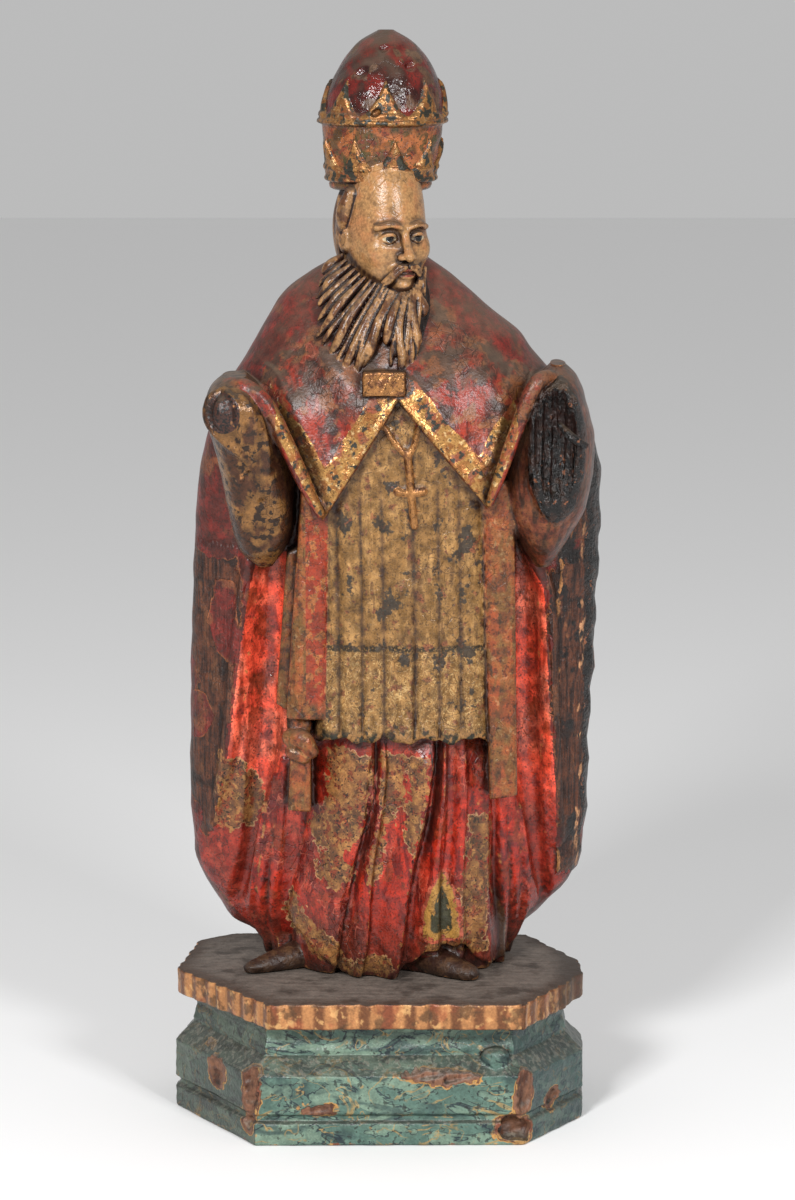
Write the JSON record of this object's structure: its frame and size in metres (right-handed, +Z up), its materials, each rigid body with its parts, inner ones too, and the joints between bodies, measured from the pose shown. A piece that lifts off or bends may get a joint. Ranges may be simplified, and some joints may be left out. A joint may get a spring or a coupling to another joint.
{
  "type": "wooden saint statue",
  "caption": "Carved and painted wooden saint in tiara, cope and rochet, hands lost, standing on a moulded octagonal plinth with marbled sides.",
  "frame": {"origin": "middle of the plinth's flat underside", "axes": "+Z up, the figure faces -Y, +X to the right of someone facing the figure"},
  "size_m": [0.149, 0.1035, 0.38],
  "materials": {
    "marbled_wood": "blue-green marbled paint under glossy old varnish, with a gilt gouged edge, bare wood chips and a dusty top",
    "painted_wood": "red, ochre and gilt paint under glossy old varnish, worn to bare wood, dusty above and blackened on one side"
  },
  "bodies": {
    "root": {"plinth": "marbled_wood", "saint_figure": "painted_wood"}
  },
  "joints": []
}
